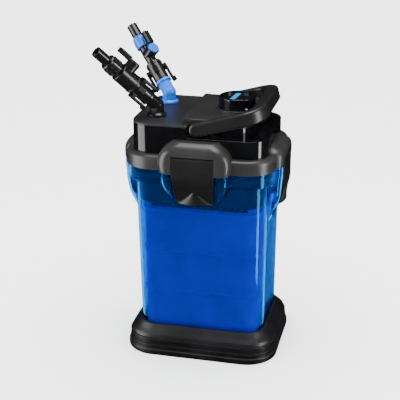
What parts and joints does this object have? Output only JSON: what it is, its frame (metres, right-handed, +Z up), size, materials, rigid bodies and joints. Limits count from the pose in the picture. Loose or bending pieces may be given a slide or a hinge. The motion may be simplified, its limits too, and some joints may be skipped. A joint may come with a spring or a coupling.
{
  "type": "canister water filter",
  "caption": "Canister water filter: clear blue box canister on a stepped foot, clamped motor head with bail handle, primer button and swivelling hose taps.",
  "frame": {"origin": "centre of the foot's underside, on the floor", "axes": "+Z up, -Y the front with the widest hood, +X the end under the handle's grip, -X the end with the taps"},
  "size_m": [0.2853, 0.2236, 0.5035],
  "materials": {
    "foot_rubber": "satin black moulded rubber",
    "canister_blue": "clear glossy blue moulding",
    "basket_plastic": "satin blue moulding",
    "ceramic": "porous ceramic",
    "carbon_cloth": "woven mesh over black granules",
    "sponge": "open-cell foam",
    "floss": "white fibre",
    "tube_plastic": "satin black",
    "seal_rubber": "smooth",
    "head_gloss": "polished black",
    "cover_matte": "fine-textured black",
    "flange_satin": "satin graphite",
    "clamp_satin": "satin graphite",
    "handle_matte": "fine-textured graphite",
    "steel": "drawn",
    "lamination": "varnished",
    "copper": "enamelled winding",
    "magnet": "sintered",
    "shaft_ceramic": "polished ceramic",
    "impeller_plastic": "white moulding",
    "primer_gloss": "polished black",
    "inlay_blue": "blue inlay",
    "tap_black": "semi-gloss black",
    "tap_blue": "glossy blue"
  },
  "bodies": {
    "filter_body": {"base_foot": "foot_rubber", "canister": "canister_blue", "lower_basket": "basket_plastic", "middle_basket": "basket_plastic", "upper_basket": "basket_plastic", "basket_lid": "basket_plastic", "ceramic_media": "ceramic", "carbon_bag": "carbon_cloth", "coarse_sponge": "sponge", "polishing_floss": "floss", "intake_tube": "tube_plastic", "head_gasket": "seal_rubber", "head_floor": "tube_plastic", "motor_head": "head_gloss", "top_cover": "cover_matte", "head_flange": "flange_satin", "cord_gland": "seal_rubber", "rotor_well": "tube_plastic", "stator_stack": "lamination", "stator_coil": "copper", "impeller_shaft": "shaft_ceramic", "shaft_bushes": "seal_rubber", "impeller_cover": "tube_plastic", "cover_screws": "steel", "primer_cylinder": "tube_plastic", "primer_bellows": "seal_rubber", "handle_pins": "steel", "clamp_pins": "steel"},
    "impeller": {"impeller_magnet": "magnet", "impeller_blades": "impeller_plastic"},
    "primer": {"primer_button": "primer_gloss", "primer_inlay": "inlay_blue", "primer_piston": "tube_plastic"},
    "handle": {"carry_handle": "handle_matte"},
    "front_clamp": {"clamp_front": "clamp_satin"},
    "rear_clamp": {"clamp_rear": "clamp_satin"},
    "left_clamp": {"clamp_left": "clamp_satin"},
    "right_clamp": {"clamp_right": "clamp_satin"},
    "outlet_tap": {"outlet_elbow": "tap_blue", "outlet_seals": "seal_rubber", "outlet_tap_body": "tap_black", "outlet_release_mounts": "tap_black"},
    "outlet_release_a": {"outlet_release_lever_a": "tap_black"},
    "outlet_release_b": {"outlet_release_lever_b": "tap_black"},
    "outlet_valve": {"outlet_valve_spool": "tap_black", "outlet_valve_cap": "tap_blue"},
    "outlet_nut": {"outlet_hose_nut": "tap_blue"},
    "inlet_tap": {"inlet_elbow": "tap_black", "inlet_seals": "seal_rubber", "inlet_tap_body": "tap_black", "inlet_release_mounts": "tap_black"},
    "inlet_release_a": {"inlet_release_lever_a": "tap_black"},
    "inlet_release_b": {"inlet_release_lever_b": "tap_black"},
    "inlet_valve": {"inlet_valve_spool": "tap_black", "inlet_valve_cap": "tap_black"},
    "inlet_nut": {"inlet_hose_nut": "tap_black"}
  },
  "joints": [
    {"name": "impeller_spin", "type": "hinge", "parent": "filter_body", "child": "impeller", "pos_m": [-0.018, 0, 0.33], "axis": [0, 0, 1], "continuous": true},
    {"name": "primer_press", "type": "slide", "parent": "filter_body", "child": "primer", "axis": [0, 0, -1], "range_m": [0, 0.014], "stiffness_N_per_m": 500, "springref_m": -0.004, "deforming": ["primer_bellows"]},
    {"name": "handle_swing", "type": "hinge", "parent": "filter_body", "child": "handle", "pos_m": [-0.0015, 0, 0.3819], "axis": [0, -1, 0], "range_deg": [0, 78]},
    {"name": "front_clamp_swing", "type": "hinge", "parent": "filter_body", "child": "front_clamp", "pos_m": [0, -0.1055, 0.342], "axis": [-1, 0, 0], "range_deg": [0, 75]},
    {"name": "right_clamp_swing", "type": "hinge", "parent": "filter_body", "child": "right_clamp", "pos_m": [0.1215, 0, 0.3275], "axis": [0, -1, 0], "range_deg": [0, 75]},
    {"name": "rear_clamp_swing", "type": "hinge", "parent": "filter_body", "child": "rear_clamp", "pos_m": [0, 0.1055, 0.342], "axis": [1, 0, 0], "range_deg": [0, 75]},
    {"name": "left_clamp_swing", "type": "hinge", "parent": "filter_body", "child": "left_clamp", "pos_m": [-0.1215, 0, 0.3275], "axis": [0, 1, 0], "range_deg": [0, 75]},
    {"name": "outlet_swivel", "type": "hinge", "parent": "filter_body", "child": "outlet_tap", "pos_m": [-0.0734, 0.037, 0.4054], "axis": [0, 0, 1], "range_deg": [-50, 35]},
    {"name": "outlet_valve_turn", "type": "hinge", "parent": "outlet_tap", "child": "outlet_valve", "pos_m": [-0.11589, 0.06709, 0.45657], "axis": [0.572, -0.405, 0.7133], "range_deg": [0, 90]},
    {"name": "outlet_release_press_a", "type": "hinge", "parent": "outlet_tap", "child": "outlet_release_a", "pos_m": [-0.08549, 0.05873, 0.4425], "axis": [-0.0041, -0.8635, 0.5043], "range_deg": [0, 9], "stiffness_Nm_per_rad": 0.05, "springref_deg": -8.59},
    {"name": "outlet_release_press_b", "type": "hinge", "parent": "outlet_tap", "child": "outlet_release_b", "pos_m": [-0.11021, 0.04989, 0.42717], "axis": [0.0041, 0.8635, -0.5043], "range_deg": [0, 9], "stiffness_Nm_per_rad": 0.05, "springref_deg": -8.59},
    {"name": "outlet_nut_turn", "type": "hinge", "parent": "outlet_tap", "child": "outlet_nut", "pos_m": [-0.12987, 0.07698, 0.47339], "axis": [-0.5821, 0.4122, 0.7009], "range_deg": [0, 360]},
    {"name": "inlet_swivel", "type": "hinge", "parent": "filter_body", "child": "inlet_tap", "pos_m": [-0.0734, -0.037, 0.4054], "axis": [0, 0, 1], "range_deg": [-37, 50]},
    {"name": "inlet_valve_turn", "type": "hinge", "parent": "inlet_tap", "child": "inlet_valve", "pos_m": [-0.11498, -0.06834, 0.45657], "axis": [0.5598, 0.4218, 0.7133], "range_deg": [0, 90]},
    {"name": "inlet_release_press_a", "type": "hinge", "parent": "inlet_tap", "child": "inlet_release_a", "pos_m": [-0.08965, -0.04758, 0.44564], "axis": [0.6483, -0.7588, 0.0622], "range_deg": [0, 9], "stiffness_Nm_per_rad": 0.05, "springref_deg": -8.59},
    {"name": "inlet_release_press_b", "type": "hinge", "parent": "inlet_tap", "child": "inlet_release_b", "pos_m": [-0.105, -0.06247, 0.42404], "axis": [-0.6483, 0.7588, -0.0622], "range_deg": [0, 9], "stiffness_Nm_per_rad": 0.05, "springref_deg": -8.59},
    {"name": "inlet_nut_turn", "type": "hinge", "parent": "inlet_tap", "child": "inlet_nut", "pos_m": [-0.12865, -0.07864, 0.47339], "axis": [-0.5696, -0.4292, 0.7009], "range_deg": [0, 360]}
  ]
}
